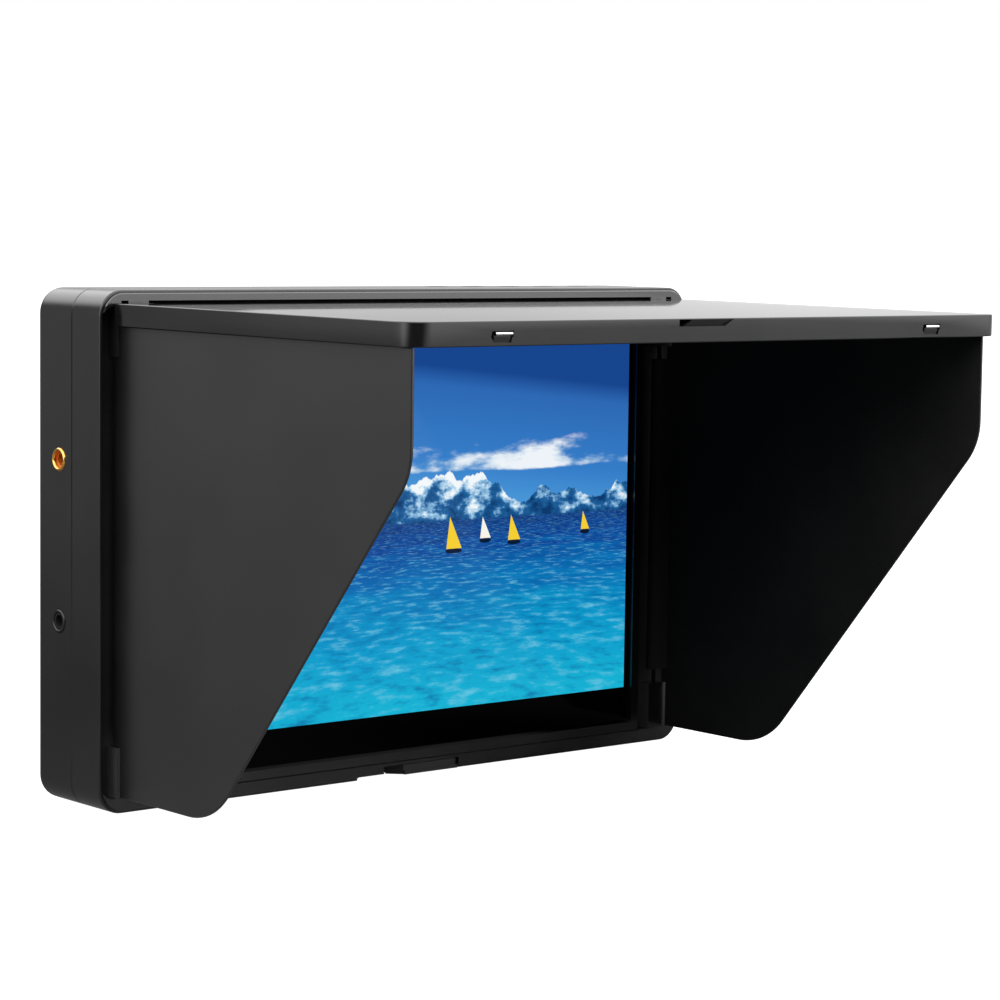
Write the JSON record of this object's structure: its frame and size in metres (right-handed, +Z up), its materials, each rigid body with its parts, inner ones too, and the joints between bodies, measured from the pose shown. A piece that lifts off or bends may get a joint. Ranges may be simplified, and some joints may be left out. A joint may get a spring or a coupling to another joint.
{
  "type": "camera field monitor",
  "caption": "Slim flat field monitor for a camera, with a folding sun hood: a hinged lid and two hinged side flaps round the screen.",
  "frame": {"origin": "mouth of the tripod thread, in the middle of the bottom face", "axes": "+X to the viewer's right along the screen, +Y away from the viewer, +Z up, out of the tripod thread's blind end"},
  "size_m": [0.23, 0.172, 0.1523],
  "materials": {
    "shell_black": "fine spark-textured moulded ABS",
    "hood_black": "fine-textured moulded ABS",
    "lid_black": "satin moulded ABS",
    "flap_black": "fine-textured moulded ABS",
    "catch_black": "moulded acetal",
    "button_black": "moulded ABS",
    "cover_glass": "polished",
    "screen": "lit display",
    "diffuser_white": "moulded",
    "foam_black": "closed-cell foam",
    "sheet_steel": "pressed sheet",
    "board_green": "solder mask",
    "chip_black": "moulded",
    "screw_steel": "zinc plated",
    "screw_black": "black oxide",
    "ribbon_amber": "polyimide film",
    "jack_yellow": "moulded",
    "jack_brass": "gold plated",
    "jack_black": "moulded",
    "socket_steel": "tin plated",
    "insert_steel": "turned",
    "insert_brass": "turned",
    "contact_brass": "gold plated",
    "pin_black": "black oxide",
    "pin_steel": "polished"
  },
  "bodies": {
    "monitor": {"front_shell": "shell_black", "rear_shell": "shell_black", "hood_frame": "hood_black", "cover_glass": "cover_glass", "lcd_panel": "screen", "backlight": "diffuser_white", "panel_gasket": "foam_black", "panel_bracket": "sheet_steel", "main_board": "board_green", "main_chips": "chip_black", "board_screws": "screw_steel", "panel_ribbon": "ribbon_amber", "av_jack": "jack_yellow", "av_jack_ring": "jack_brass", "headphone_jack": "jack_black", "video_in_socket": "socket_steel", "video_out_socket": "socket_steel", "power_socket": "jack_black", "button_board": "board_green", "button_switches": "chip_black", "speaker": "chip_black", "tripod_insert": "insert_steel", "plate_inserts": "insert_brass", "case_screws": "screw_black", "battery_plate": "shell_black", "battery_contacts": "contact_brass", "latch_spring": "screw_steel", "lid_hinge_pins": "pin_black", "left_flap_pins": "pin_black", "right_flap_pins": "pin_black"},
    "lid": {"lid": "lid_black", "lid_lip_pins": "pin_steel"},
    "left_flap": {"left_flap": "flap_black"},
    "right_flap": {"right_flap": "flap_black"},
    "hood_catch": {"hood_catch": "catch_black"},
    "battery_latch": {"battery_latch": "catch_black"},
    "power_button": {"power_button": "button_black"},
    "menu_button": {"menu_button": "button_black"},
    "minus_button": {"minus_button": "button_black"},
    "plus_button": {"plus_button": "button_black"},
    "source_button": {"source_button": "button_black"}
  },
  "joints": [
    {"name": "lid_hinge", "type": "hinge", "parent": "monitor", "child": "lid", "pos_m": [0, -0.0267, 0.14653], "axis": [-1, 0, 0], "range_deg": [0, 30]},
    {"name": "left_flap_hinge", "type": "hinge", "parent": "monitor", "child": "left_flap", "pos_m": [-0.1047, -0.02175, 0.076], "axis": [0, 0, 1], "range_deg": [0, 90]},
    {"name": "right_flap_hinge", "type": "hinge", "parent": "monitor", "child": "right_flap", "pos_m": [0.1047, -0.0229, 0.076], "axis": [0, 0, -1], "range_deg": [0, 90]},
    {"name": "catch_slide", "type": "slide", "parent": "monitor", "child": "hood_catch", "axis": [-1, 0, 0], "range_m": [0, 0.004]},
    {"name": "latch_slide", "type": "slide", "parent": "monitor", "child": "battery_latch", "axis": [0, 0, 1], "range_m": [0, 0.003], "stiffness_N_per_m": 500, "springref_m": -0.002, "deforming": ["latch_spring"]},
    {"name": "power_press", "type": "slide", "parent": "monitor", "child": "power_button", "axis": [0, 0, -1], "range_m": [0, 0.0006], "stiffness_N_per_m": 1000, "springref_m": -0.0005},
    {"name": "menu_press", "type": "slide", "parent": "monitor", "child": "menu_button", "axis": [0, 0, -1], "range_m": [0, 0.0006], "stiffness_N_per_m": 1000, "springref_m": -0.0005},
    {"name": "minus_press", "type": "slide", "parent": "monitor", "child": "minus_button", "axis": [0, 0, -1], "range_m": [0, 0.0006], "stiffness_N_per_m": 1000, "springref_m": -0.0005},
    {"name": "plus_press", "type": "slide", "parent": "monitor", "child": "plus_button", "axis": [0, 0, -1], "range_m": [0, 0.0006], "stiffness_N_per_m": 1000, "springref_m": -0.0005},
    {"name": "source_press", "type": "slide", "parent": "monitor", "child": "source_button", "axis": [0, 0, -1], "range_m": [0, 0.0006], "stiffness_N_per_m": 1000, "springref_m": -0.0005}
  ]
}
